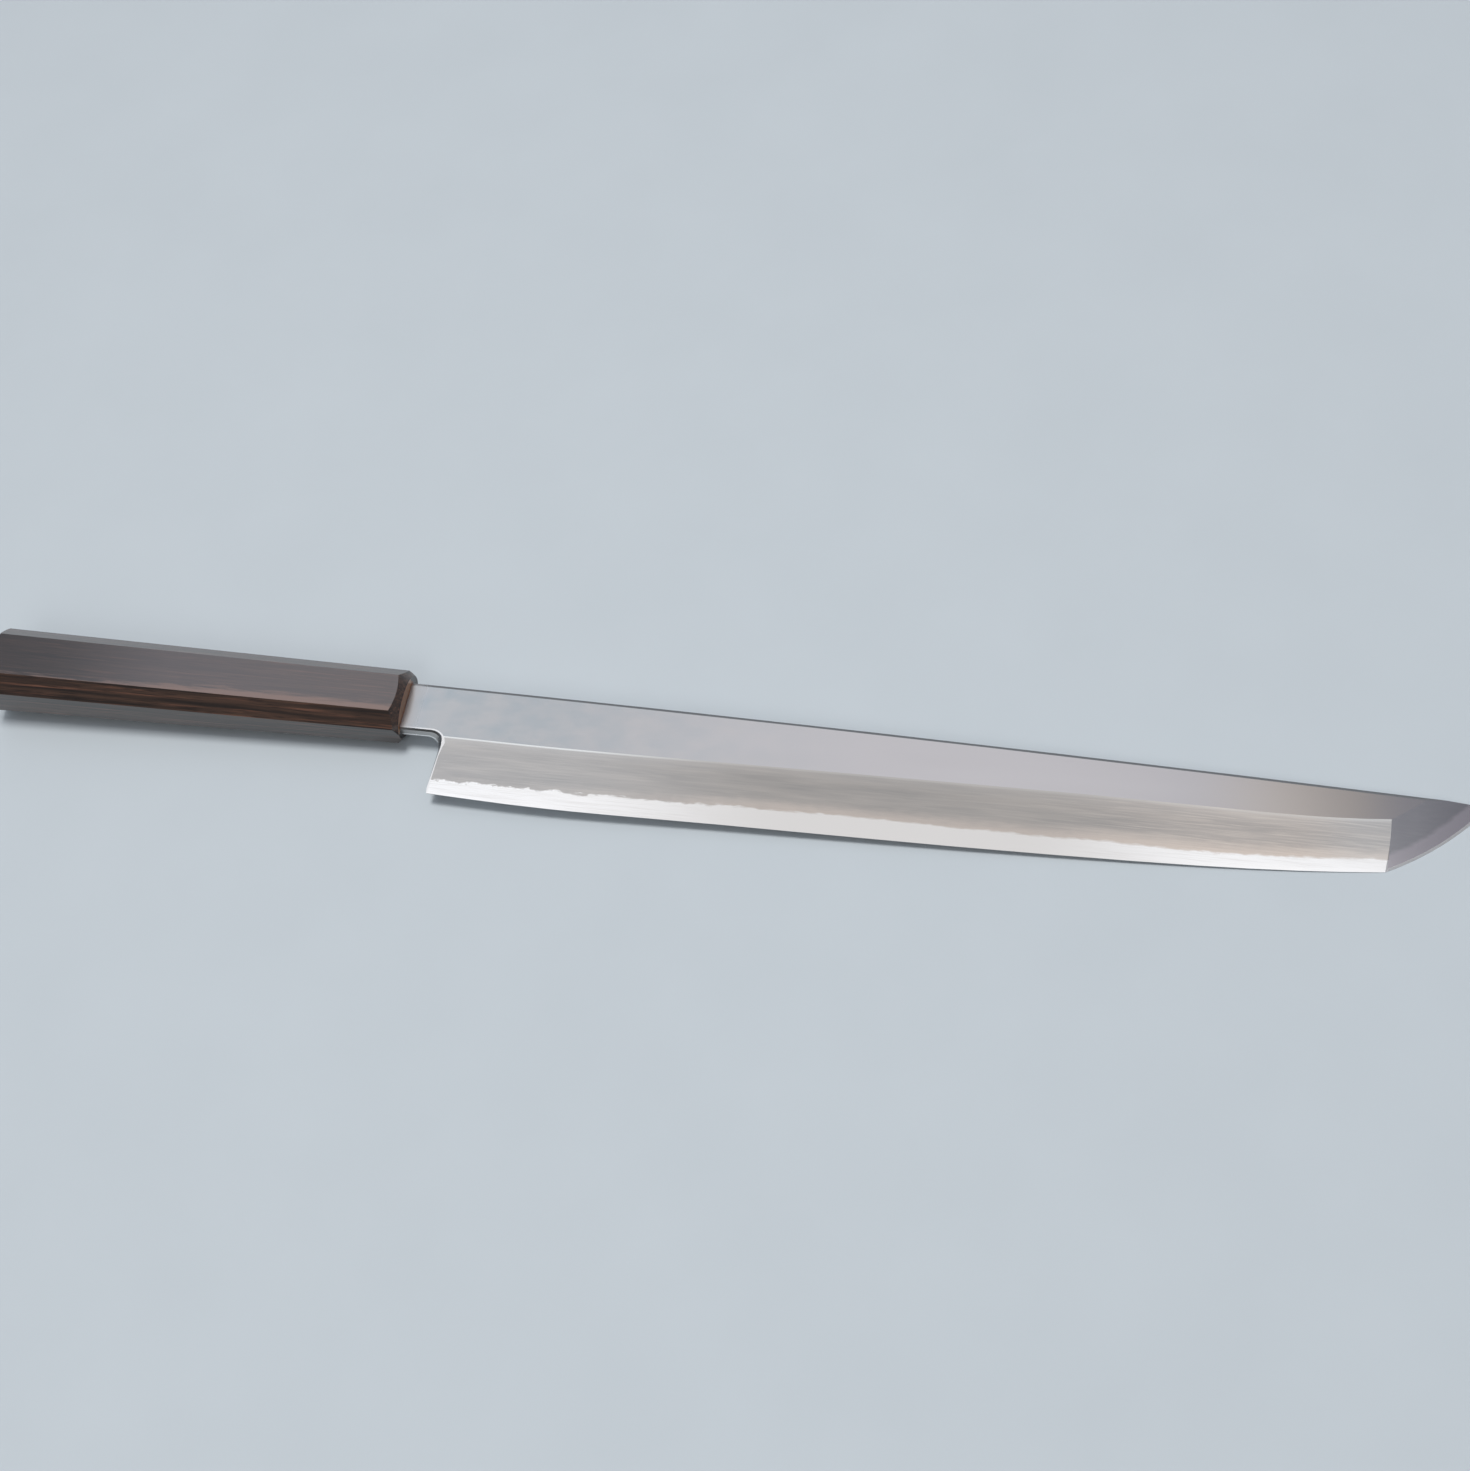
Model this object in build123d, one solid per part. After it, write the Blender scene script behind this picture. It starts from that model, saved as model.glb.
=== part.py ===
"""A single-bevel slicing knife with an angular tip, lying on its flat side.

A soft iron body is forge welded to a hard steel back. Its tang is set in resin in an octagonal
handle of one piece of wood. The knife is drawn in its own axes: X from the machi, where the blade
leaves the handle, to the tip, Y towards the spine and Z out of the bevelled face. At the end it is
laid down as it rests on a table, on the handle's front rim and the curved edge of the tip.
"""
import os
from math import atan2, degrees

from build123d import *

# Blade outline, from the machi and from the tang's axis
blade_length = 336.0
spine_height = 8.0
spine_drop = 7.25
edge_depth = 30.25
ridge_depth = 10.75
neck_depth = 9.1
neck_length = 13.1
heel_setback = 12.4
heel_slant_share = 0.55
heel_corner_radius = 4.8
tip_section_length = 27.9
yokote_depth = 23.65
tip_arc_sagitta = 2.15

# Blade thickness, bevels and eased edges
neck_thickness = 4.2
tip_thickness = 2.0
edge_land = 0.12
tip_facet_width = 13.9
spine_ease_width = 1.0
spine_ease_height = 0.5
neck_ease = 0.55

# Hard steel back and its shallow hollow
steel_thickness = 1.1
steel_start = 3.0
hollow_depth = 0.28
hollow_rim = 1.5
hollow_heel_gap = 6.0
hollow_tip_gap = 8.0

# Tang
tang_length = 98.0
tang_height = 13.2
tang_end_height = 7.0
tang_thickness = 3.3
tang_end_thickness = 2.4
tang_end_radius = 2.5

# Handle
handle_length = 144.0
front_height = 22.3
front_thickness = 17.2
front_corner_cut = 4.55
butt_height = 25.2
butt_thickness = 21.3
butt_corner_cut = 5.15
front_rim_inset_y = 0.05
front_rim_inset_z = 2.0
front_rim_length = 6.0
front_rim_rise = 6.9
butt_rim_inset_y = 0.6
butt_rim_inset_z = 0.9
butt_rim_length = 5.0
butt_rim_rise = 6.75
rim_rest_setback = 2.7

# Resin bed round the tang, wider at the mouth that the blade's shoulders stand on
resin_wall = 0.35
mouth_side_wall = 1.1
mouth_end_wall = 0.3
mouth_depth = 1.8
resin_end_pocket = 1.5

# One overrun serves all cuts
overrun = 5.0

# Points of the edge, the ridge and the weld, and depths of the hollow, as shares of their sizes
edge_point_shares = (
    (0.0, 0.951), (0.045, 0.966), (0.115, 0.996), (0.3, 0.99), (0.506, 0.972), (0.673, 0.938), (0.827, 0.869),
)
ridge_point_shares = ((0.0, 1.0), (0.12, 0.985), (0.33, 0.925), (0.55, 0.838), (0.78, 0.81), (0.885, 0.755))
ridge_end_share = 0.663
spine_middle_share = 0.34
bevel_station_shares = (0.0, 0.15, 0.3, 0.45, 0.6, 0.75, 0.9, 1.0)
hollow_shares = ((0.0, 0.2), (0.12, 0.8), (0.35, 1.0), (0.65, 0.9), (0.9, 0.5), (1.0, 0.2))
weld_shares = (
    (0.035, 0.78), (0.052, 0.88), (0.07, 0.95), (0.09, 1.12), (0.11, 1.05), (0.168, 1.13), (0.227, 1.04),
    (0.284, 0.99), (0.34, 1.0), (0.397, 0.97), (0.45, 1.0), (0.508, 0.97), (0.562, 0.88), (0.617, 0.81),
    (0.67, 0.79), (0.723, 0.73), (0.775, 0.74), (0.827, 0.63), (0.879, 0.57), (0.917, 0.6), (0.96, 0.66),
    (1.02, 0.66),
)

# Places that follow from the sizes above
yokote_x = blade_length - tip_section_length
yokote_foot = Vector(yokote_x, -yokote_depth)
tip = Vector(blade_length, spine_height - spine_drop)
handle_front = 0
handle_butt = handle_front - handle_length


def thickness_at(x):
    """The blade's thickness, which tapers evenly from the machi to the tip."""
    return neck_thickness + (tip_thickness - neck_thickness) * x / blade_length


def on_flat(x, y):
    return Vector(x, y, thickness_at(x) / 2)


def on_back(x, y):
    return Vector(x, y, -thickness_at(x) / 2)


def spine_line():
    middle = Vector(blade_length / 2, spine_height - spine_drop * spine_middle_share)
    return Spline(Vector(0, spine_height), middle, tip)


def edge_line():
    points = [Vector(blade_length * along, -edge_depth * down) for along, down in edge_point_shares]
    return Spline(*points, yokote_foot)


def ridge_line():
    points = [Vector(blade_length * along, -ridge_depth * down) for along, down in ridge_point_shares]
    return Spline(*points, Vector(yokote_x, -ridge_depth * ridge_end_share))


def tip_line():
    return SagittaArc(yokote_foot, tip, -tip_arc_sagitta)


def blade_outline():
    spine, edge, end = spine_line(), edge_line(), tip_line()
    return make_face([spine, end, edge, Line(edge @ 0, spine @ 0)])


def blank():
    """The outline, cut from a wedge that is thickest at the machi."""
    near, far = neck_thickness / 2, tip_thickness / 2
    side = Polyline((0, 0, near), (blade_length, 0, far), (blade_length, 0, -far), (0, 0, -near), close=True)
    wedge = extrude(make_face(side), amount=edge_depth + overrun, dir=(0, 1, 0), both=True)
    return extrude(Pos(0, 0, -neck_thickness) * blade_outline(), amount=2 * neck_thickness) & wedge


def bevel_section(ridge_point, edge_point):
    """A triangle over the bevel, from past the ridge to past the edge."""
    top = on_flat(ridge_point.X, ridge_point.Y)
    foot = on_back(edge_point.X, edge_point.Y) + Vector(0, 0, edge_land)
    fall = (foot - top).normalized() * overrun
    high, low = top - fall, foot + fall
    return make_face(Polyline(high, low, (low.X, low.Y, high.Z), close=True))


def bevel_cutter():
    """What the grindstone takes off between the ridge and the edge, up to the yokote."""
    ridge, edge = ridge_line(), edge_line()
    sections = [bevel_section(ridge @ share, edge @ share) for share in bevel_station_shares]
    past = bevel_section(ridge @ 1 + (ridge % 1) * overrun, edge @ 1 + (edge % 1) * overrun)
    return loft([*sections, past])


def tip_cutter():
    """What lies beyond a flat cone round the tip arc's centre, which falls to the edge there."""
    end = tip_line()
    depth = thickness_at(yokote_x)
    rise = (depth - edge_land) / tip_facet_width
    inner, outer = end.radius - tip_facet_width - overrun, end.radius + overrun
    high, low = depth + overrun * rise, edge_land - overrun * rise
    foot = on_back(end.arc_center.X, end.arc_center.Y)
    profile = Polyline((inner, high), (outer, low), (outer, high), close=True)
    ring = revolve(make_face(profile), axis=Axis.Y, revolution_arc=90)
    back_lean = degrees(atan2((neck_thickness - tip_thickness) / 2, blade_length))
    upright = Plane(origin=foot, x_dir=(0, -1, 0), z_dir=(-1, 0, 0)).location
    return Pos(foot) * Rot(0, -back_lean, 0) * Pos(-foot) * upright * ring


def height_at(line, x):
    """The Y of a line of the outline at one X."""
    upright = Line((x, -edge_depth - overrun), (x, spine_height + overrun))
    return line.intersect(upright)[0].Y


def hollow_section(x, deep):
    """A shallow arc between the two flat rims of the back, closed below the blade."""
    top = height_at(spine_line(), x) - hollow_rim
    low = height_at(edge_line(), x) + hollow_rim
    level = -thickness_at(x) / 2
    under = level - overrun
    arc = ThreePointArc((x, top, level), (x, (top + low) / 2, level + deep), (x, low, level))
    return make_face([arc, Polyline((x, low, level), (x, low, under), (x, top, under), (x, top, level))])


def hollow_cutter():
    """What the round stone takes out of the back, deepest behind the middle of the blade."""
    first, last = heel_setback + hollow_heel_gap, yokote_x - hollow_tip_gap
    length = last - first
    stations = [(first + length * along, hollow_depth * deep) for along, deep in hollow_shares]
    return loft([hollow_section(x, deep) for x, deep in stations])


def heel_notch():
    """What is cut away behind the heel, whose wall leans in as it climbs from the back."""
    corner, foot = Vector(neck_length, -neck_depth), Vector(heel_setback, -edge_depth - overrun)
    notch = Polyline((-overrun, -neck_depth), corner, foot, (-overrun, foot.Y), close=True)
    face = fillet(make_face(notch).vertices().sort_by_distance(corner)[0], heel_corner_radius)
    rise = Vector(heel_slant_share, 0, 1)
    back = Pos(0, 0, -neck_thickness / 2) * face
    return extrude(back, (neck_thickness + overrun) * rise.length, dir=rise, both=True)


def ease_spine(body):
    """Bevel off the spine's two long edges, wider along the flat than down the spine."""
    for side in (-1, 0):
        spine = body.faces().sort_by(Axis.Y)[-1]
        edge = spine.edges().filter_by(lambda e: e.length > yokote_x).sort_by(Axis.Z)[side]
        body = chamfer(edge, spine_ease_height, spine_ease_width, reference=spine)
    return body


def ease_neck(body):
    """Bevel off the neck's two lower edges."""
    under = body.faces().filter_by(Axis.Y).filter_by(GeomType.PLANE).sort_by(Axis.Y)[0]
    return chamfer(under.edges().filter_by(lambda e: abs(e.center().Z) > neck_ease), neck_ease)


def blade():
    """The whole blade before its two metals are told apart."""
    body = ease_spine(blank()) - bevel_cutter() - tip_cutter() - hollow_cutter() - heel_notch()
    return ease_neck(body)


def steel_zone():
    """All that lies under the weld, which wanders in height along the blade."""
    start = on_back(steel_start, 0) - Vector(0, 0, steel_thickness / 2)
    raised = [(blade_length * along, Vector(0, 0, steel_thickness * high)) for along, high in weld_shares]
    weld = Spline(start, *[on_back(x, 0) + rise for x, rise in raised])
    end, under = weld @ 1, -neck_thickness
    side = make_face([weld, Polyline(end, (end.X, 0, under), (start.X, 0, under), start)])
    return extrude(side, amount=edge_depth + overrun, dir=(0, 1, 0), both=True)


def tapered_bar(near, near_height, near_thickness, far, far_height, far_thickness):
    """A bar on the tang's axis from one rectangular end to another."""
    upright = Plane(origin=(0, 0, 0), x_dir=(0, 1, 0), z_dir=(1, 0, 0))
    near_end = upright.offset(near) * Rectangle(near_height, near_thickness)
    far_end = upright.offset(far) * Rectangle(far_height, far_thickness)
    return loft([near_end.face(), far_end.face()], ruled=True)


def tang():
    bar = tapered_bar(0, tang_height, tang_thickness, -tang_length, tang_end_height, tang_end_thickness)
    corners = bar.faces().sort_by(Axis.X)[0].edges().filter_by(Axis.Z)
    return fillet(corners, tang_end_radius)


def resin_mouth():
    """The wider resin at the handle's front, which shows round the blade's shoulders."""
    middle = (spine_height - neck_depth) / 2
    front = Plane(origin=(handle_front, middle, 0), x_dir=(0, 1, 0), z_dir=(1, 0, 0))
    height, width = spine_height + neck_depth + 2 * mouth_end_wall, neck_thickness + 2 * mouth_side_wall
    return extrude(front * Rectangle(height, width), amount=-mouth_depth)


def resin_bed():
    """The resin that fills the handle's slot, from its mouth to a little past the tang's end."""
    room = 2 * resin_wall
    end = -tang_length - resin_end_pocket
    slot = tapered_bar(
        0, tang_height + room, tang_thickness + room, end, tang_end_height + room, tang_end_thickness + room
    )
    return slot + resin_mouth()


def octagon_corner(x, height, thickness, corner_cut, over, up):
    """The two points of one end of a handle's corner facet."""
    side = Vector(x, over * height / 2, up * (thickness / 2 - corner_cut))
    face = Vector(x, over * (height / 2 - corner_cut), up * thickness / 2)
    return side, face


def handle_blank():
    """A tapered bar with its four long corners planed off."""
    bar = tapered_bar(handle_front, front_height, front_thickness, handle_butt, butt_height, butt_thickness)
    for over, up in ((1, 1), (1, -1), (-1, 1), (-1, -1)):
        side, face = octagon_corner(handle_front, front_height, front_thickness, front_corner_cut, over, up)
        butt = octagon_corner(handle_butt, butt_height, butt_thickness, butt_corner_cut, over, up)[0]
        outward = (face - side).cross(butt - side)
        if outward.Z * up < 0:
            outward = -outward
        bar = split(bar, bisect_by=Plane(origin=side, x_dir=face - side, z_dir=outward), keep=Keep.BOTTOM)
    return bar


def rim_cutter(x, length, half_height, half_thickness, rise):
    """What is outside a flat elliptical cone, which widens by its rise along its signed length."""
    upright = Plane(origin=(0, 0, 0), x_dir=(0, 1, 0), z_dir=(1, 0, 0))
    end = upright.offset(x) * Ellipse(half_height, half_thickness)
    deep = upright.offset(x + length) * Ellipse(half_height + rise, half_thickness + rise)
    side = 2 * butt_height
    slab = extrude(upright.offset(x) * Rectangle(side, side), amount=length)
    return slab - loft([end.face(), deep.face()])


def handle():
    front = front_height / 2 - front_rim_inset_y, front_thickness / 2 - front_rim_inset_z
    butt = butt_height / 2 - butt_rim_inset_y, butt_thickness / 2 - butt_rim_inset_z
    eased = handle_blank() - rim_cutter(handle_front, -front_rim_length, *front, front_rim_rise)
    eased -= rim_cutter(handle_butt, butt_rim_length, *butt, butt_rim_rise)
    return eased - resin_bed()


def rest_plane():
    """The table's plane, which touches the handle's front rim and the middle of the tip's edge."""
    widened = (butt_thickness - front_thickness) * rim_rest_setback / handle_length
    low = -(front_thickness + widened) / 2
    rim = Vector(handle_front - rim_rest_setback, front_corner_cut - front_height / 2, low)
    end = tip_line()
    touch, beyond = end @ 0.5, end @ 0.5 + end % 0.5
    touch, beyond = on_back(touch.X, touch.Y), on_back(beyond.X, beyond.Y)
    return Plane(origin=rim, x_dir=(1, 0, 0), z_dir=(touch - rim).cross(beyond - touch))


def laid_down(pieces):
    """Turn the pieces as they rest, with the table at Z zero and the origin under their middle."""
    turned = {name: rest_plane().location.inverse() * piece for name, piece in pieces.items()}
    box = Compound(children=[solid for piece in turned.values() for solid in piece.solids()]).bounding_box()
    middle = box.center()
    return {name: Pos(-middle.X, -middle.Y, -box.min.Z) * piece for name, piece in turned.items()}


def main():
    os.makedirs("parts", exist_ok=True)
    whole, under_weld = blade(), steel_zone()
    pieces = {
        "soft_iron_body": whole - under_weld + tang(),
        "hard_steel_back": whole & under_weld,
        "tang_resin_bed": resin_bed() - tang(),
        "wooden_handle": handle(),
    }
    for name, piece in laid_down(pieces).items():
        print(name, len(piece.solids()), round(piece.volume), piece.bounding_box())
        export_step(piece, f"parts/{name}.step")


main()
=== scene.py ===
"""A single-bevel slicing knife that lies on a plain pale table, with its bevelled face up.

The blade is soft iron with hard steel forge welded to its back, the handle is one octagonal piece of
dark wood, and resin beds the tang. Lengths are metres, except in the materials, where patterns are
drawn in millimetres on the knife's own axes: X from the machi, where the blade leaves the handle, to
the tip, Y towards the spine and Z out of the bevelled face.
"""
from math import radians

import bpy
from mathutils import Euler, Matrix, Vector


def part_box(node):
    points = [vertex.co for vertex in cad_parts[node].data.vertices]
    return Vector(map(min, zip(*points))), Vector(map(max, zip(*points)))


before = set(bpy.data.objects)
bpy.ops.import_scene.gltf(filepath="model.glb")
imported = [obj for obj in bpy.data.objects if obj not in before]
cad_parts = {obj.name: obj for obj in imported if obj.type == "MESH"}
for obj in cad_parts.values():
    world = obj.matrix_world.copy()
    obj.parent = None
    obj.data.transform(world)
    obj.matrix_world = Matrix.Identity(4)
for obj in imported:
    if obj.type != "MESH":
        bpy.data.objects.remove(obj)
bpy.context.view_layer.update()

mm = 0.001

# Settings that many nodes share: a mix of two colours, an eased fade and the cosine of two directions
colours = {"out": 2, "data_type": "RGBA"}
eased = {"interpolation_type": "SMOOTHSTEP"}
cosine = {"out": "Value", "operation": "DOT_PRODUCT"}

# How the knife lies: its own axes are turned a little on the table, about the machi
lean = Euler((radians(1.2823), radians(1.3086), 0.0))
mouth_overhang = 0.077 * mm
machi = Vector((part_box("tang_resin_bed")[1].x - mouth_overhang, 8.829 * mm, 8.720 * mm))

# The photograph's camera, from the machi
photo_width = 1470
focal_pixels = 2717.1
sensor_width = 36.0
camera_from_machi = Vector((315.95, -412.47, 709.03)) * mm
target_from_machi = Vector((106.12, 4.49, -8.720)) * mm
camera_roll = radians(-18.1711)

# The blade's form, in millimetres on the knife's own axes, as its finish needs it
neck_half_thickness = 2.1
half_taper = -1.1 / 336.0
heel_corner = Vector((8.3, -13.9))
heel_corner_radius = 4.8
heel_slant = 0.55
neck_ease = 0.55
neck_ease_height = 1.4
yokote_x = 308.6

# Which way the blade's flat and the handle's front end face, and on which side the spine is
flat_normal = Vector((0.02610, -0.02237, 0.99941))
handle_axis = Vector((0.99974, 0.0, -0.02284))
spine_side = Vector((0.0, 1.0, 0.0))

# Where the finish changes along the knife, in millimetres from the machi. Here and in every fade below, 1
# is where it starts and 2 where it ends, and it goes from 3 to 4, or else from none to all.
flat_painted_light_by_handle = {1: 7.5, 2: 0.3}
flat_mottles = {1: 150.0, 2: 15.0}
flat_warms = {1: 245.0, 2: 285.0}
flat_cools = {1: 315.0, 2: 295.0}
lines_show = {1: 180.0, 2: 260.0, 3: 0.3, 4: 0.8}
ridge_highlight_reach = {1: 100.0, 2: 60.0, 3: 0.25, 4: 0.95}
weld_glows = {1: 60.0, 2: 130.0, 3: 0.1, 4: 0.65}
weld_height = {1: 110.0, 2: 310.0, 3: 1.14, 4: 0.62}
weld_raggedness = {1: 20.0, 2: 150.0, 3: 1.0, 4: 0.26}
mid_blade_shade_rises = {1: 50.0, 2: 130.0}
mid_blade_shade_falls = {1: 265.0, 2: 200.0}
haze_warms = {1: 170.0, 2: 230.0}
haze_cools = {1: 305.0, 2: 280.0}
edge_highlight_at_heel = {1: 60.0, 2: 30.0}
edge_highlight_at_tip = {1: 240.0, 2: 280.0}
facet_starts = {1: yokote_x - 0.05, 2: yokote_x + 0.35}
facet_deepens = {1: 316.0, 2: 334.0}
wall_shade_ends = {1: 20.0, 2: 15.0}
neck_roughness = {1: 0.0, 2: 9.0, 3: 0.45, 4: 0.15}
edge_sheen_narrows = {1: -60.0, 2: -110.0, 3: -0.4, 4: 2.4}
butt_darkens = {1: -75.0, 2: -125.0}
handle_front = {1: -11.0, 2: -1.0}

# Where it changes across the knife, towards the spine
wall_shade_below_neck = {1: -11.0, 2: -13.0}
rim_width = {1: heel_corner.y - 3.0, 2: heel_corner.y, 3: 0.05, 4: 0.45}
rim_blur = 0.15
edge_sheen_line = {1: -0.6, 2: -3.2}
edge_sheen_raggedness = 6.0
blade_light_inside = {1: 7.9, 2: 7.4}

# Where it changes out of the bevelled face
blade_light_over_flat = {1: 0.5, 2: 1.5}
resin_painted_shade = {1: 1.5, 2: 0.5}
handle_low_side = {1: 1.0, 2: -1.5}

# How near to the ridge, the weld line and the blade's back it changes
ridge_pales = {1: 0.6, 2: 0.0, 3: 0.0, 4: 0.4}
ridge_highlight_line = {1: 0.13, 2: 0.05}
glow_over_weld = {1: 0.7, 2: 0.0}
weld_line = {1: 0.05, 2: -0.05}
facet_steel = {1: 0.3, 2: 0.05}
edge_highlight_depth = {1: 0.4, 2: 0.1}
sharpened_edge = {1: 0.26, 2: 0.2}

# The cosines at which one face passes into the next
flat_to_bevel = {1: 0.998, 2: 0.992}
upper_faces = {1: 0.93, 2: 0.96}
heel_wall = {1: 0.7, 2: 0.6}
spine_chamfer = {1: 0.3, 2: 0.4}
handle_top = {1: 0.97, 2: 0.99}
handle_end = {1: 0.9, 2: 0.97}

# How far the weld line wanders, how strong the rims' painted highlight is, how much the honed edge dulls
# and how much of the handle's top is painted grey as the room mirrored in its wax
weld_wandering = {3: -0.12, 4: 0.12}
rim_highlight_strength = 0.85
honed_roughness = {3: 0.0, 4: 0.55}
top_painted_sheen = 0.65

# How much wax the handle keeps on its front face, its back faces, its end grain and low at its front
front_face_wax = {1: 0.85, 2: 0.95, 3: 1.0, 4: 0.55}
back_faces_wax = {1: 0.4, 2: 0.5, 3: 1.0, 4: 0.6}
end_grain_wax = {3: 1.0, 4: 0.45}
low_front_wax = {3: 1.0, 4: 0.1}

# The patterns: their streaks' length and width in millimetres, then the noise's detail and roughness. The
# stone lines and the pores are drawn coarser than real ones, so that they show.
flat_cloud = (70, 12)
flat_mottle = (9, 6, 3.0)
haze_cloud = (36, 3.4, 3.0)
stone_lines = (14, 0.45, 3.0)
weld_wander = (40, 200, 1.0)
weld_teeth = (4.5, 1.6, 3.0, 0.6)
wood_bands = (70, 1.3, 4.0)
wood_veins = (45, 0.55, 3.0)
wood_pores = (9, 0.28)
edge_sheen_teeth = (12, 1.0, 4.0, 0.6)
planed_swell = (14, 2.5, 3.0)
end_speckle = (0.5, 0.5)
resin_cloud = (0.8, 1.5)

# How wide the board's clouds are, and how deep the handle's swell and pores, in metres
board_cloud = 40 * mm
swell_depth = 0.02 * mm
pore_depth = 0.02 * mm

# The part of each noise that shows
mottle_contrast = {1: 0.35, 2: 0.65}
haze_contrast = {1: 0.3, 2: 0.7}
line_contrast = {1: 0.45, 2: 0.75}
band_contrast = {1: 0.36, 2: 0.64}
vein_contrast = {1: 0.55, 2: 0.72}
pore_contrast = {1: 0.52, 2: 0.7}
resin_contrast = {1: 0.4, 2: 0.6}

# The room, by how far right, back and up one looks in it. Its ceiling light ends on a slant over the
# blade's tip, and is cooler and stronger by its left end.
horizon = 0.05
light_edge = 0.206
light_edge_slant = 0.384
light_edge_blur = 0.025
light_left_edge = -0.495
light_left_blur = 0.05
light_left_rest = 0.05
light_glares = {3: 1.0, 4: 1.9}
light_cools = {1: -0.38, 2: -0.46}
light_is_high = {1: 0.35, 2: 0.72}
light_is_back = {1: -0.75, 2: -0.05}
wall_pales = {1: -0.6, 2: 0.1}

# A key lamp nearly overhead, and a weak one in front of the knife
key_place = Vector((-0.16, 0.14, 2.0))
key_size = 0.55
key_power = 23.0
fill_place = Vector((0.0, -1.3, 1.3))
fill_size = 0.8
fill_power = 5.0
table_size = 12.0


def linear(code):
    """The linear colour of an sRGB hex code such as 8a8f94."""
    shares = [int(code[place:place + 2], 16) / 255 for place in (0, 2, 4)]
    return [s / 12.92 if s <= 0.04045 else ((s + 0.055) / 1.055) ** 2.4 for s in shares] + [1.0]


def add(tree, kind, inputs, out=0, **settings):
    """Adds a node, sets or links the inputs that are named, and gives back one of its outputs.

    An input's value may be a hex colour.
    """
    node = tree.nodes.new(kind)
    for name, value in settings.items():
        setattr(node, name, value)
    for name, value in inputs.items():
        if isinstance(value, bpy.types.NodeSocket):
            tree.links.new(value, node.inputs[name])
        else:
            node.inputs[name].default_value = linear(value) if isinstance(value, str) else value
    return node.outputs[out] if node.outputs else node


def place_camera():
    """The photograph's camera: where it stood, how it was turned and how wide it saw."""
    eye = machi + camera_from_machi
    target = machi + target_from_machi
    data = bpy.data.cameras.new("photo_camera")
    data.sensor_width = sensor_width
    data.lens = sensor_width * focal_pixels / photo_width
    camera = bpy.data.objects.new("photo_camera", data)
    camera.location = eye
    level = (target - eye).to_track_quat("-Z", "Y")
    camera.rotation_euler = (level.to_matrix() @ Matrix.Rotation(camera_roll, 3, "Z")).to_euler()
    bpy.context.scene.collection.objects.link(camera)
    bpy.context.scene.camera = camera


def light_sky():
    """A dim room under one wide pale ceiling light."""
    world = bpy.data.worlds.new("studio")
    bpy.context.scene.world = world
    world.use_nodes = True
    tree = world.node_tree
    tree.nodes.clear()
    way = add(tree, "ShaderNodeTexCoord", {}, "Generated")
    right, back, up = add(tree, "ShaderNodeSeparateXYZ", {0: way}).node.outputs
    above = add(tree, "ShaderNodeMath", {0: up, 1: horizon}, operation="MAXIMUM")
    aside = add(tree, "ShaderNodeMath", {0: right, 1: above}, operation="DIVIDE")
    behind = add(tree, "ShaderNodeMath", {0: back, 1: above}, operation="DIVIDE")

    # The light's colour: cooler on the left, and dark past its slanted edge
    cool = add(tree, "ShaderNodeMapRange", {0: aside, **light_cools}, **eased)
    light = add(tree, "ShaderNodeMix", {0: cool, 6: "fdfdff", 7: "e3eeff"}, **colours)
    past_edge = {0: behind, 1: light_edge_slant, 2: aside}
    past_edge = add(tree, "ShaderNodeMath", past_edge, operation="MULTIPLY_ADD")
    lit = {0: past_edge, 1: light_edge + light_edge_blur, 2: light_edge - light_edge_blur}
    lit = add(tree, "ShaderNodeMapRange", lit, **eased)
    light = add(tree, "ShaderNodeMix", {0: lit, 6: "8e8e94", 7: light}, **colours)

    # How far it reaches: it is high up, isn't in front, and ends on the left
    left_end = {
        0: aside,
        1: light_left_edge - light_left_blur,
        2: light_left_edge + light_left_blur,
        3: light_left_rest,
    }
    left_end = add(tree, "ShaderNodeMapRange", left_end, **eased)
    high = add(tree, "ShaderNodeMapRange", {0: up, **light_is_high}, **eased)
    not_front = add(tree, "ShaderNodeMapRange", {0: back, **light_is_back}, **eased)
    ceiling = add(tree, "ShaderNodeMath", {0: high, 1: not_front}, operation="MULTIPLY")
    ceiling = add(tree, "ShaderNodeMath", {0: ceiling, 1: left_end}, operation="MULTIPLY")

    # The room's wall round it, paler at the back
    pale = add(tree, "ShaderNodeMapRange", {0: back, **wall_pales}, **eased)
    wall = add(tree, "ShaderNodeMix", {0: pale, 6: "585a5c", 7: "70767d"}, **colours)
    room = add(tree, "ShaderNodeMix", {0: ceiling, 6: wall, 7: light}, **colours)
    glare = add(tree, "ShaderNodeMath", {0: cool, 1: ceiling}, operation="MULTIPLY")
    glare = add(tree, "ShaderNodeMapRange", {0: glare, **light_glares})
    background = add(tree, "ShaderNodeBackground", {"Color": room, "Strength": glare})
    add(tree, "ShaderNodeOutputWorld", {"Surface": background})


def hang_lamp(name, place, size, power):
    """A soft round lamp that lights the knife and the table but isn't mirrored in them."""
    lamp = bpy.data.lights.new(name, "AREA")
    lamp.shape = "DISK"
    lamp.size = size
    lamp.energy = power
    lamp.color = linear("fffcf8")[:3]
    hung = bpy.data.objects.new(name, lamp)
    hung.location = place
    hung.rotation_euler = (-place).to_track_quat("-Z", "Y").to_euler()
    hung.visible_glossy = False
    bpy.context.scene.collection.objects.link(hung)


def knife_place(tree):
    """Where a point is on the knife's own axes, in millimetres."""
    here = add(tree, "ShaderNodeTexCoord", {}, "Object")
    turned = {"Vector": here, "Location": machi, "Rotation": lean, "Scale": (mm, mm, mm)}
    return add(tree, "ShaderNodeMapping", turned, vector_type="TEXTURE")


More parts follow.
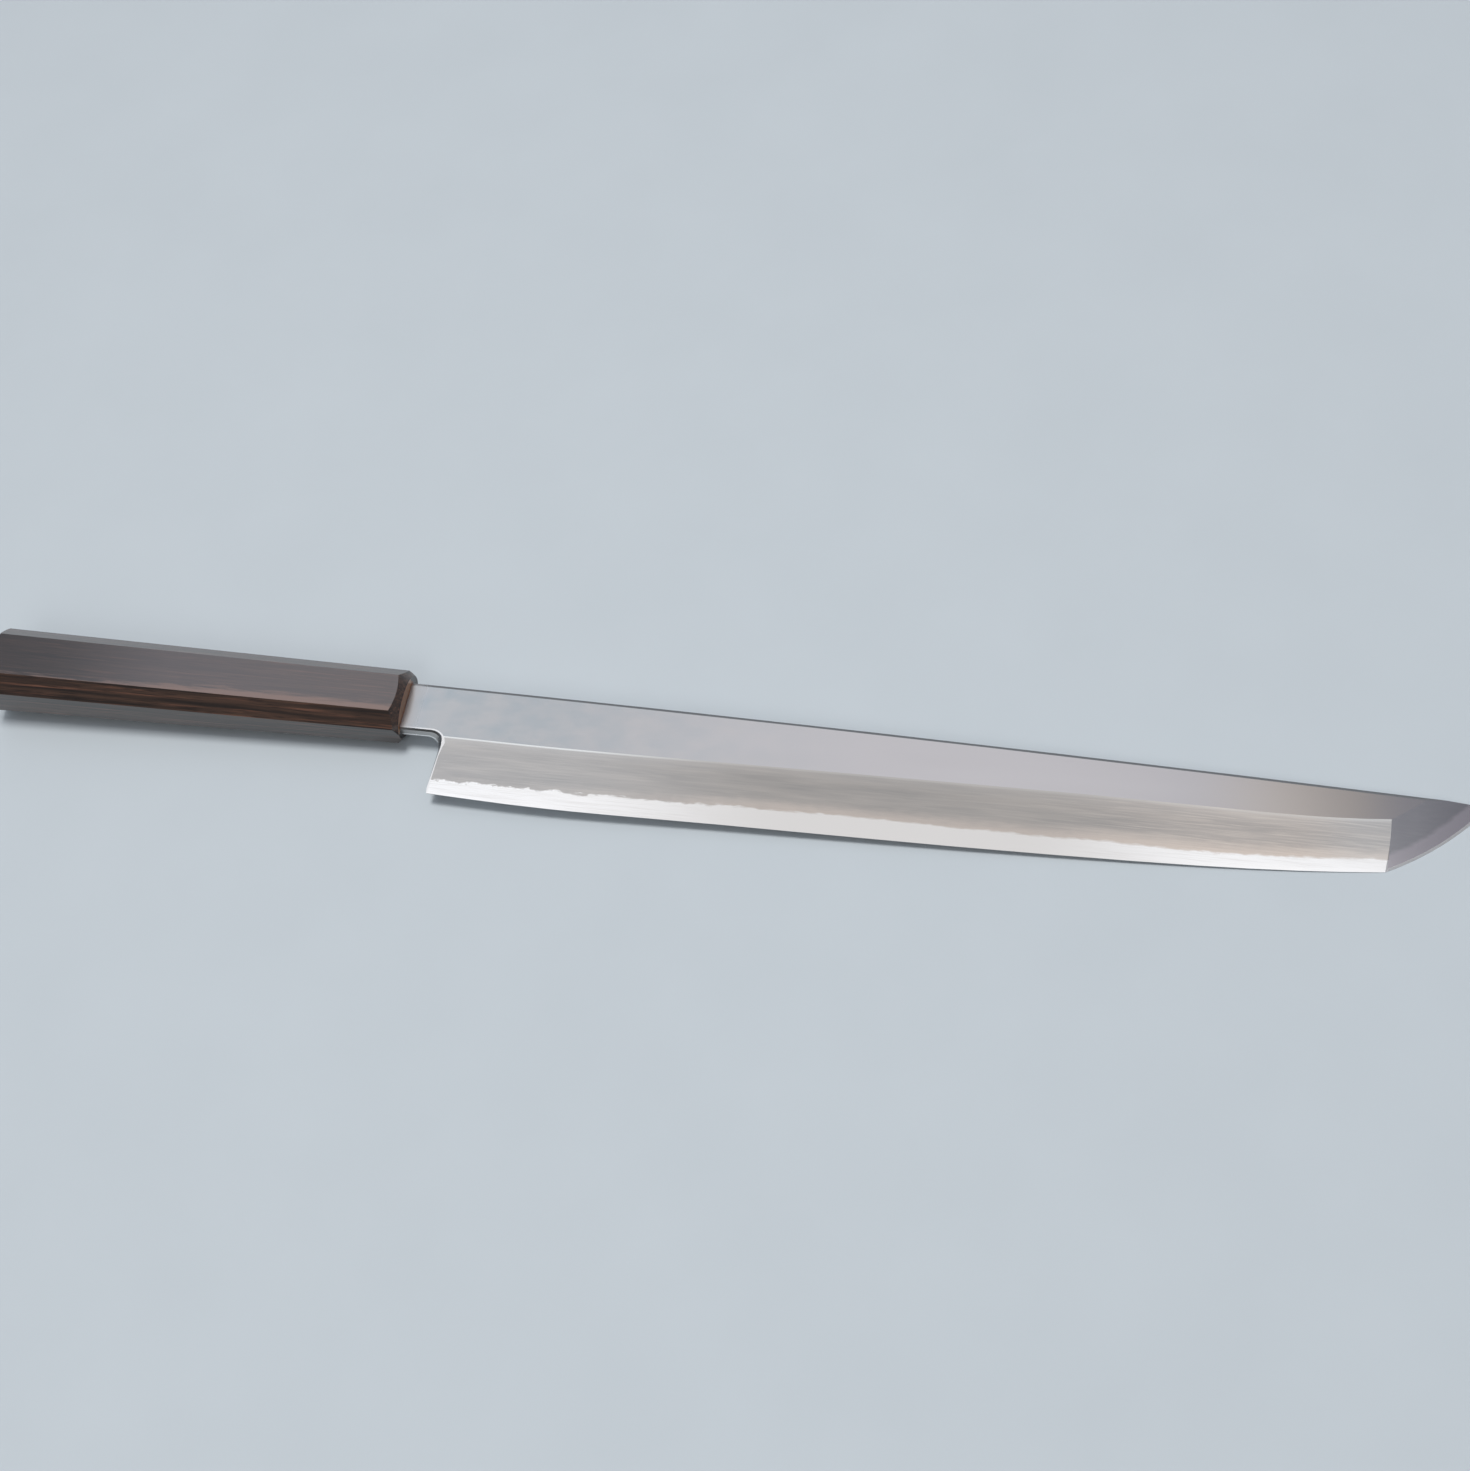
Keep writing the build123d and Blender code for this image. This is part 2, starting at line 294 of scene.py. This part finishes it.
def new_material(name):
    """A material with an empty principled surface, with its tree and shader."""
    material = bpy.data.materials.new(name)
    material.use_nodes = True
    tree = material.node_tree
    tree.nodes.clear()
    shader = add(tree, "ShaderNodeBsdfPrincipled", {}).node
    add(tree, "ShaderNodeOutputMaterial", {"Surface": shader.outputs[0]})
    return material, tree, shader


def streaks(tree, place, length, width, detail=2.0, roughness=0.5):
    """A noise drawn out along the knife."""
    drawn = add(tree, "ShaderNodeMapping", {"Vector": place, "Scale": (1 / length, 1 / width, 1 / width)})
    noise = {"Vector": drawn, "Scale": 1.0, "Detail": detail, "Roughness": roughness}
    return add(tree, "ShaderNodeTexNoise", noise, "Fac")


def height_over_weld(tree, place, along, height):
    """How far a point is over the ragged weld line, from how far it is over the blade's back."""
    steady = add(tree, "ShaderNodeMapRange", {0: along, **weld_height}, **eased)
    wander = add(tree, "ShaderNodeMapRange", {0: streaks(tree, place, *weld_wander), **weld_wandering})
    ragged = streaks(tree, place, *weld_teeth)
    ragged = add(tree, "ShaderNodeMath", {0: ragged, 1: 0.5}, operation="SUBTRACT")
    raggedness = add(tree, "ShaderNodeMapRange", {0: along, **weld_raggedness})
    ragged = add(tree, "ShaderNodeMath", {0: ragged, 1: raggedness}, operation="MULTIPLY")
    line = add(tree, "ShaderNodeMath", {0: steady, 1: wander}, operation="ADD")
    line = add(tree, "ShaderNodeMath", {0: line, 1: ragged}, operation="ADD")
    return add(tree, "ShaderNodeMath", {0: height, 1: line}, operation="SUBTRACT")


def heel_rim_highlight(tree, along, across, out, level):
    """A narrow painted highlight along the rims of the faces that meet the neck's underside and the heel's
    wall.

    It follows the notch by how far a point is from the middle of the round corner between them.
    """
    upright = {0: out, 1: -heel_slant, 2: along}
    upright = add(tree, "ShaderNodeMath", upright, operation="MULTIPLY_ADD")
    wall = heel_corner.x + heel_slant * neck_half_thickness
    right = add(tree, "ShaderNodeMath", {0: upright, 1: wall}, operation="SUBTRACT")
    right = add(tree, "ShaderNodeMath", {0: right, 1: 0.0}, operation="MAXIMUM")
    over = add(tree, "ShaderNodeMath", {0: across, 1: heel_corner.y}, operation="SUBTRACT")
    ease = add(tree, "ShaderNodeMapRange", {0: over, 1: 0.0, 2: neck_ease_height, 3: 0.0, 4: neck_ease})
    over = add(tree, "ShaderNodeMath", {0: over, 1: 0.0}, operation="MAXIMUM")
    away = add(tree, "ShaderNodeCombineXYZ", {0: right, 1: over})
    away = add(tree, "ShaderNodeVectorMath", {0: away}, "Value", operation="LENGTH")
    away = add(tree, "ShaderNodeMath", {0: away, 1: ease}, operation="SUBTRACT")
    width = add(tree, "ShaderNodeMapRange", {0: across, **rim_width})
    away = add(tree, "ShaderNodeMath", {0: away, 1: width}, operation="SUBTRACT")
    rim_highlight = {0: away, 1: heel_corner_radius + rim_blur, 2: heel_corner_radius - rim_blur}
    rim_highlight = add(tree, "ShaderNodeMapRange", rim_highlight)
    upper = add(tree, "ShaderNodeMapRange", {0: level, **upper_faces})
    return add(tree, "ShaderNodeMath", {0: rim_highlight, 1: upper}, operation="MULTIPLY")


def smooth_flat(tree, place, along):
    """The flat: pale grey, faintly mottled near the handle and warmer before the tip, and painted paler
    right by the handle: painted light over the handle's dark reflection.
    """
    cloud = streaks(tree, place, *flat_cloud)
    flat = add(tree, "ShaderNodeMix", {0: cloud, 6: "bdbbbe", 7: "c5c3c6"}, **colours)
    mottle = add(tree, "ShaderNodeMapRange", {0: streaks(tree, place, *flat_mottle), **mottle_contrast})
    tint = add(tree, "ShaderNodeMix", {0: mottle, 6: "a9b1b6", 7: "b6b8ba"}, **colours)
    mottled = add(tree, "ShaderNodeMapRange", {0: along, **flat_mottles})
    flat = add(tree, "ShaderNodeMix", {0: mottled, 6: flat, 7: tint}, **colours)
    rising = add(tree, "ShaderNodeMapRange", {0: along, **flat_warms}, **eased)
    falling = add(tree, "ShaderNodeMapRange", {0: along, **flat_cools}, **eased)
    warmed = add(tree, "ShaderNodeMath", {0: rising, 1: falling}, operation="MULTIPLY")
    flat = add(tree, "ShaderNodeMix", {0: warmed, 6: flat, 7: "cdc6c0"}, **colours)
    # Painted light: the flat is painted paler right by the handle
    painted_light_by_handle = add(tree, "ShaderNodeMapRange", {0: along, **flat_painted_light_by_handle}, **eased)
    return add(tree, "ShaderNodeMix", {0: painted_light_by_handle, 6: flat, 7: "dddddd"}, **colours)


def hazed_bevel(tree, place, along, height, below_flat, over_weld, lines):
    """The bevel: clouded iron, paler by the ridge, and nearly white steel under the weld line."""
    cloud = add(tree, "ShaderNodeMapRange", {0: streaks(tree, place, *haze_cloud), **haze_contrast})
    haze = add(tree, "ShaderNodeMix", {0: cloud, 6: "ababab", 7: "bcbab8"}, **colours)
    lined = add(tree, "ShaderNodeMapRange", {0: along, **lines_show})
    lined = add(tree, "ShaderNodeMath", {0: lines, 1: lined}, operation="MULTIPLY")
    haze = add(tree, "ShaderNodeMix", {0: lined, 6: haze, 7: "cdcac6"}, **colours)

    # The ridge is paler, with a painted highlight line along it, strongest towards the handle
    by_ridge = add(tree, "ShaderNodeMapRange", {0: below_flat, **ridge_pales})
    haze = add(tree, "ShaderNodeMix", {0: by_ridge, 6: haze, 7: "cccccc"}, **colours)
    on_ridge = add(tree, "ShaderNodeMapRange", {0: below_flat, **ridge_highlight_line})
    painted_highlight = add(tree, "ShaderNodeMapRange", {0: along, **ridge_highlight_reach})
    painted_ridge_highlight = add(tree, "ShaderNodeMath", {0: on_ridge, 1: painted_highlight}, operation="MULTIPLY")
    haze = add(tree, "ShaderNodeMix", {0: painted_ridge_highlight, 6: haze, 7: "ecefef"}, **colours)

    # Just over the weld the iron is paler and warm
    by_weld = add(tree, "ShaderNodeMapRange", {0: over_weld, **glow_over_weld}, **eased)
    glow = add(tree, "ShaderNodeMapRange", {0: along, **weld_glows})
    glow = add(tree, "ShaderNodeMath", {0: by_weld, 1: glow}, operation="MULTIPLY")
    haze = add(tree, "ShaderNodeMix", {0: glow, 6: haze, 7: "e2d9d2"}, **colours)

    # The middle of the blade is painted darker, iron and steel alike: painted shade. The haze is warmer
    # from there towards the tip
    painted_mid_shade = add(tree, "ShaderNodeMapRange", {0: along, **mid_blade_shade_rises}, **eased)
    mid_shade_ends = add(tree, "ShaderNodeMapRange", {0: along, **mid_blade_shade_falls}, **eased)
    painted_mid_shade = add(tree, "ShaderNodeMath", {0: painted_mid_shade, 1: mid_shade_ends}, operation="MULTIPLY")
    warm = add(tree, "ShaderNodeMapRange", {0: along, **haze_warms}, **eased)
    cool = add(tree, "ShaderNodeMapRange", {0: along, **haze_cools}, **eased)
    warm = add(tree, "ShaderNodeMath", {0: warm, 1: cool}, operation="MULTIPLY")
    tint_and_painted_shade = add(tree, "ShaderNodeMix", {0: warm, 6: "fbfbfb", 7: "fcf6f1"}, **colours)
    tint_and_painted_shade = add(tree, "ShaderNodeMix", {0: painted_mid_shade, 6: tint_and_painted_shade, 7: "e4e1de"}, **colours)
    haze = add(tree, "ShaderNodeMix", {0: 1.0, 6: haze, 7: tint_and_painted_shade}, blend_type="MULTIPLY", **colours)

    # The steel is painted whitest along its cutting edge, by the heel and by the tip: painted highlight. In
    # the middle of the blade it is painted darker: painted shade
    steel = add(tree, "ShaderNodeMix", {0: lines, 6: "f8f8f8", 7: "ebeae9"}, **colours)
    by_edge = add(tree, "ShaderNodeMapRange", {0: height, **edge_highlight_depth})
    heelward = add(tree, "ShaderNodeMapRange", {0: along, **edge_highlight_at_heel})
    tipward = add(tree, "ShaderNodeMapRange", {0: along, **edge_highlight_at_tip})
    painted_edge_highlight = add(tree, "ShaderNodeMath", {0: heelward, 1: tipward}, operation="MAXIMUM")
    painted_edge_highlight = add(tree, "ShaderNodeMath", {0: by_edge, 1: painted_edge_highlight}, operation="MULTIPLY")
    steel = add(tree, "ShaderNodeMix", {0: painted_edge_highlight, 6: steel, 7: "ffffff"}, **colours)
    steel = add(tree, "ShaderNodeMix", {0: painted_mid_shade, 6: steel, 7: "dad8d6"}, **colours)
    welded = add(tree, "ShaderNodeMapRange", {0: over_weld, **weld_line})
    return add(tree, "ShaderNodeMix", {0: welded, 6: haze, 7: steel}, **colours)


def tip_facet(tree, along, over_weld, lines):
    """The tip's facet: polished darker than the bevel, with a narrow band of steel along its edge."""
    facet = add(tree, "ShaderNodeMix", {0: lines, 6: "d4d5d8", 7: "dcdcde"}, **colours)
    deep = add(tree, "ShaderNodeMapRange", {0: along, **facet_deepens})
    facet = add(tree, "ShaderNodeMix", {0: deep, 6: facet, 7: "b6b6bc"}, **colours)
    steel = add(tree, "ShaderNodeMix", {0: deep, 6: "f2eef2", 7: "dedae0"}, **colours)
    band = add(tree, "ShaderNodeMapRange", {0: over_weld, **facet_steel}, **eased)
    return add(tree, "ShaderNodeMix", {0: band, 6: facet, 7: steel}, **colours)


def forged_blade():
    """Soft iron and hard steel, forge welded, ground on stones and hazed along the bevel.

    The flat is a smooth pale grey. The bevel's iron has the cloudy grey of fine stone mud, with
    streaks along the blade, and the steel under it is nearly white, past a ragged weld line.
    """
    material, tree, shader = new_material("stone_ground_iron_and_steel")
    place = knife_place(tree)
    along, across, out = add(tree, "ShaderNodeSeparateXYZ", {0: place}).node.outputs
    half = {0: along, 1: half_taper, 2: neck_half_thickness}
    half = add(tree, "ShaderNodeMath", half, operation="MULTIPLY_ADD")
    height = add(tree, "ShaderNodeMath", {0: out, 1: half}, operation="ADD")
    below_flat = add(tree, "ShaderNodeMath", {0: half, 1: out}, operation="SUBTRACT")
    over_weld = height_over_weld(tree, place, along, height)
    facing = add(tree, "ShaderNodeTexCoord", {}, "Normal")
    level = add(tree, "ShaderNodeVectorMath", {0: facing, 1: flat_normal}, **cosine)

    # The ground faces: the flat, the bevel, and the tip's facet past the yokote
    lines = add(tree, "ShaderNodeMapRange", {0: streaks(tree, place, *stone_lines), **line_contrast})
    flat = smooth_flat(tree, place, along)
    bevel = hazed_bevel(tree, place, along, height, below_flat, over_weld, lines)
    facet = tip_facet(tree, along, over_weld, lines)
    past_yokote = add(tree, "ShaderNodeMapRange", {0: along, **facet_starts})
    bevel = add(tree, "ShaderNodeMix", {0: past_yokote, 6: bevel, 7: facet}, **colours)
    bevelled = add(tree, "ShaderNodeMapRange", {0: level, **flat_to_bevel})
    ground = add(tree, "ShaderNodeMix", {0: bevelled, 6: flat, 7: bevel}, **colours)

    # Painted highlights: pale rims round the neck and the heel, and along the honed edge where the tip is
    # sharpened
    rim_highlight = heel_rim_highlight(tree, along, across, out, level)
    rim_highlight = add(tree, "ShaderNodeMath", {0: rim_highlight, 1: rim_highlight_strength}, operation="MULTIPLY")
    sharpened = add(tree, "ShaderNodeMapRange", {0: height, **sharpened_edge})
    sharpened = add(tree, "ShaderNodeMath", {0: sharpened, 1: past_yokote}, operation="MULTIPLY")
    painted_highlight = add(tree, "ShaderNodeMath", {0: rim_highlight, 1: sharpened}, operation="MAXIMUM")
    ground = add(tree, "ShaderNodeMix", {0: painted_highlight, 6: ground, 7: "ececec"}, **colours)

    # The spine's chamfer is polished
    spineward = add(tree, "ShaderNodeVectorMath", {0: facing, 1: spine_side}, **cosine)
    chamfer = add(tree, "ShaderNodeMapRange", {0: spineward, **spine_chamfer})
    ground = add(tree, "ShaderNodeMix", {0: chamfer, 6: ground, 7: "f2ede9"}, **colours)

    # The heel's wall is painted dark: painted shade, for the shadowed table that it mirrors
    painted_wall_shade = add(tree, "ShaderNodeMapRange", {0: level, **heel_wall})
    for way, limit in ((across, wall_shade_below_neck), (along, wall_shade_ends)):
        within = add(tree, "ShaderNodeMapRange", {0: way, **limit})
        painted_wall_shade = add(tree, "ShaderNodeMath", {0: painted_wall_shade, 1: within}, operation="MULTIPLY")
    ground = add(tree, "ShaderNodeMix", {0: painted_wall_shade, 6: ground, 7: "585a5c"}, **colours)
    tree.links.new(ground, shader.inputs["Base Color"])

    # It is all polished, less so by the handle and where the tip is sharpened
    dull = add(tree, "ShaderNodeMapRange", {0: along, **neck_roughness}, **eased)
    honed = add(tree, "ShaderNodeMapRange", {0: sharpened, **honed_roughness})
    dull = add(tree, "ShaderNodeMath", {0: dull, 1: honed}, operation="MAXIMUM")
    tree.links.new(dull, shader.inputs["Roughness"])
    shader.inputs["Metallic"].default_value = 1.0
    return material


def long_grain(tree, place, pores):
    """The wood along the handle: dark bands, redder veins and black pores."""
    band = add(tree, "ShaderNodeMapRange", {0: streaks(tree, place, *wood_bands), **band_contrast})
    vein = add(tree, "ShaderNodeMapRange", {0: streaks(tree, place, *wood_veins), **vein_contrast})
    brown = add(tree, "ShaderNodeMix", {0: band, 6: "281f1b", 7: "4d392f"}, **colours)
    brown = add(tree, "ShaderNodeMix", {0: vein, 6: brown, 7: "6e4c3e"}, **colours)
    return add(tree, "ShaderNodeMix", {0: pores, 6: brown, 7: "201815"}, **colours)


def top_with_painted_sheen(tree, place, along, across, top, brown):
    """The top facet: painted grey as the room mirrored in its wax, a painted reflection that darkens by the
    butt, with a paler painted highlight along its front edge.
    """
    # Painted reflection: the top facet is painted grey, darker by the butt
    painted_sheen = add(tree, "ShaderNodeMath", {0: top, 1: top_painted_sheen}, operation="MULTIPLY")
    butt = add(tree, "ShaderNodeMapRange", {0: along, **butt_darkens}, **eased)
    grey = add(tree, "ShaderNodeMix", {0: butt, 6: "564f52", 7: "1c1617"}, **colours)
    brown = add(tree, "ShaderNodeMix", {0: painted_sheen, 6: brown, 7: grey}, **colours)
    # Painted highlight: the top facet is painted paler along its front edge, with a ragged border
    ragged = {0: streaks(tree, place, *edge_sheen_teeth), 1: edge_sheen_raggedness, 2: across}
    ragged = add(tree, "ShaderNodeMath", ragged, operation="MULTIPLY_ADD")
    narrowed = add(tree, "ShaderNodeMapRange", {0: along, **edge_sheen_narrows})
    ragged = add(tree, "ShaderNodeMath", {0: ragged, 1: narrowed}, operation="ADD")
    painted_edge_sheen = add(tree, "ShaderNodeMapRange", {0: ragged, **edge_sheen_line}, **eased)
    painted_edge_sheen = add(tree, "ShaderNodeMath", {0: painted_edge_sheen, 1: top}, operation="MULTIPLY")
    return add(tree, "ShaderNodeMix", {0: painted_edge_sheen, 6: brown, 7: "765f57"}, **colours)


def end_grain_and_painted_light(tree, place, across, out):
    """The end grain: dark, and painted orange brown where it stands over the blade: painted light, thrown
    up onto it from the blade's flat.
    """
    speckle = streaks(tree, place, *end_speckle)
    plain_end = add(tree, "ShaderNodeMix", {0: speckle, 6: "261d19", 7: "33261f"}, **colours)
    blade_lit_end = add(tree, "ShaderNodeMix", {0: speckle, 6: "a06a42", 7: "ca9060"}, **colours)
    inside = add(tree, "ShaderNodeMapRange", {0: across, **blade_light_inside})
    over_flat = add(tree, "ShaderNodeMapRange", {0: out, **blade_light_over_flat})
    painted_blade_light = add(tree, "ShaderNodeMath", {0: inside, 1: over_flat}, operation="MULTIPLY")
    return add(tree, "ShaderNodeMix", {0: painted_blade_light, 6: plain_end, 7: blade_lit_end}, **colours)


def handle_wood():
    """A dark, dense hardwood such as ebony or rosewood, planed, oiled and waxed to a soft shine.

    It is nearly black brown with fine straight lines of red brown and black along the handle. The
    wax mirrors a pale room softly, so the upper facets look grey, and the top facet's colour is
    painted grey too: painted reflection. The end grain is dark, and painted a warmer brown over the
    blade: painted light, thrown up from the blade's flat.
    """
    material, tree, shader = new_material("waxed_dark_hardwood")
    place = knife_place(tree)
    along, across, out = add(tree, "ShaderNodeSeparateXYZ", {0: place}).node.outputs
    facing = add(tree, "ShaderNodeTexCoord", {}, "Normal")
    upward = add(tree, "ShaderNodeVectorMath", {0: facing, 1: flat_normal}, **cosine)
    forward = add(tree, "ShaderNodeVectorMath", {0: facing, 1: handle_axis}, **cosine)
    spineward = add(tree, "ShaderNodeVectorMath", {0: facing, 1: spine_side}, **cosine)
    edgeward = add(tree, "ShaderNodeVectorMath", {0: facing, 1: -spine_side}, **cosine)

    pores = add(tree, "ShaderNodeMapRange", {0: streaks(tree, place, *wood_pores), **pore_contrast})
    top = add(tree, "ShaderNodeMapRange", {0: upward, **handle_top})
    end_grain = add(tree, "ShaderNodeMapRange", {0: forward, **handle_end})
    brown = long_grain(tree, place, pores)
    brown = top_with_painted_sheen(tree, place, along, across, top, brown)
    # The end grain carries painted light where it stands over the blade
    end = end_grain_and_painted_light(tree, place, across, out)
    brown = add(tree, "ShaderNodeMix", {0: end_grain, 6: brown, 7: end}, **colours)
    tree.links.new(brown, shader.inputs["Base Color"])

    # The wax is thinner on the front and back faces and the end grain, and thinnest low at the front
    low = add(tree, "ShaderNodeMapRange", {0: out, **handle_low_side})
    front = add(tree, "ShaderNodeMapRange", {0: along, **handle_front})
    low_front = add(tree, "ShaderNodeMath", {0: low, 1: front}, operation="MULTIPLY")
    waxed = add(tree, "ShaderNodeMapRange", {0: low_front, **low_front_wax})
    faces = ((edgeward, front_face_wax), (spineward, back_faces_wax), (end_grain, end_grain_wax))
    for face, wax in faces:
        kept = add(tree, "ShaderNodeMapRange", {0: face, **wax})
        waxed = add(tree, "ShaderNodeMath", {0: waxed, 1: kept}, operation="MULTIPLY")
    tree.links.new(waxed, shader.inputs["Coat Weight"])
    shader.inputs["Coat Roughness"].default_value = 0.2
    shader.inputs["Coat IOR"].default_value = 1.62
    shader.inputs["Roughness"].default_value = 0.3
    shader.inputs["IOR"].default_value = 1.5

    # Planing leaves a slight swell, with the pores' fine relief on it
    uneven = streaks(tree, place, *planed_swell)
    swell = add(tree, "ShaderNodeBump", {"Height": uneven, "Strength": 1.0, "Distance": swell_depth})
    relief = {"Height": pores, "Strength": 0.3, "Distance": pore_depth, "Normal": swell}
    relief = add(tree, "ShaderNodeBump", relief)
    tree.links.new(relief, shader.inputs["Normal"])
    return material


def tang_resin():
    """Dark amber resin, poured round the tang and wiped flush. Low beside the blade it is painted nearly
    black: painted shade.
    """
    material, tree, shader = new_material("amber_resin")
    place = knife_place(tree)
    out = add(tree, "ShaderNodeSeparateXYZ", {0: place}, "Z")
    cloudy = add(tree, "ShaderNodeMapRange", {0: streaks(tree, place, *resin_cloud), **resin_contrast})
    amber = add(tree, "ShaderNodeMix", {0: cloudy, 6: "7a4628", 7: "a8693a"}, **colours)
    # Painted shade: the resin is painted nearly black below the blade's flat
    dark = add(tree, "ShaderNodeMapRange", {0: out, **resin_painted_shade})
    amber = add(tree, "ShaderNodeMix", {0: dark, 6: amber, 7: "34241c"}, **colours)
    tree.links.new(amber, shader.inputs["Base Color"])
    shader.inputs["Roughness"].default_value = 0.3
    return material


def table_board():
    """A matte pale blue-grey board, which gives an even ground."""
    material, tree, shader = new_material("matte_board")
    here = add(tree, "ShaderNodeTexCoord", {}, "Object")
    cloud = {"Vector": here, "Scale": 1 / board_cloud, "Detail": 3.0}
    cloud = add(tree, "ShaderNodeTexNoise", cloud, "Fac")
    pale = add(tree, "ShaderNodeMix", {0: cloud, 6: "c0c9d0", 7: "c5ced5"}, **colours)
    tree.links.new(pale, shader.inputs["Base Color"])
    shader.inputs["Roughness"].default_value = 1.0
    shader.inputs["Specular IOR Level"].default_value = 0.0
    return material


def lay_table():
    """The table that the knife lies on."""
    bpy.ops.mesh.primitive_plane_add(size=table_size, location=(0.0, 0.0, 0.0))
    table = bpy.context.object
    table.name = "table"
    table.data.materials.append(table_board())


place_camera()
light_sky()
hang_lamp("key_lamp", key_place, key_size, key_power)
hang_lamp("fill_lamp", fill_place, fill_size, fill_power)
lay_table()
blade = forged_blade()
finishes = {
    "soft_iron_body": blade,
    "hard_steel_back": blade,
    "tang_resin_bed": tang_resin(),
    "wooden_handle": handle_wood(),
}
for name, finish in finishes.items():
    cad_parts[name].data.materials[0] = finish
bpy.context.scene.view_settings.view_transform = "Standard"
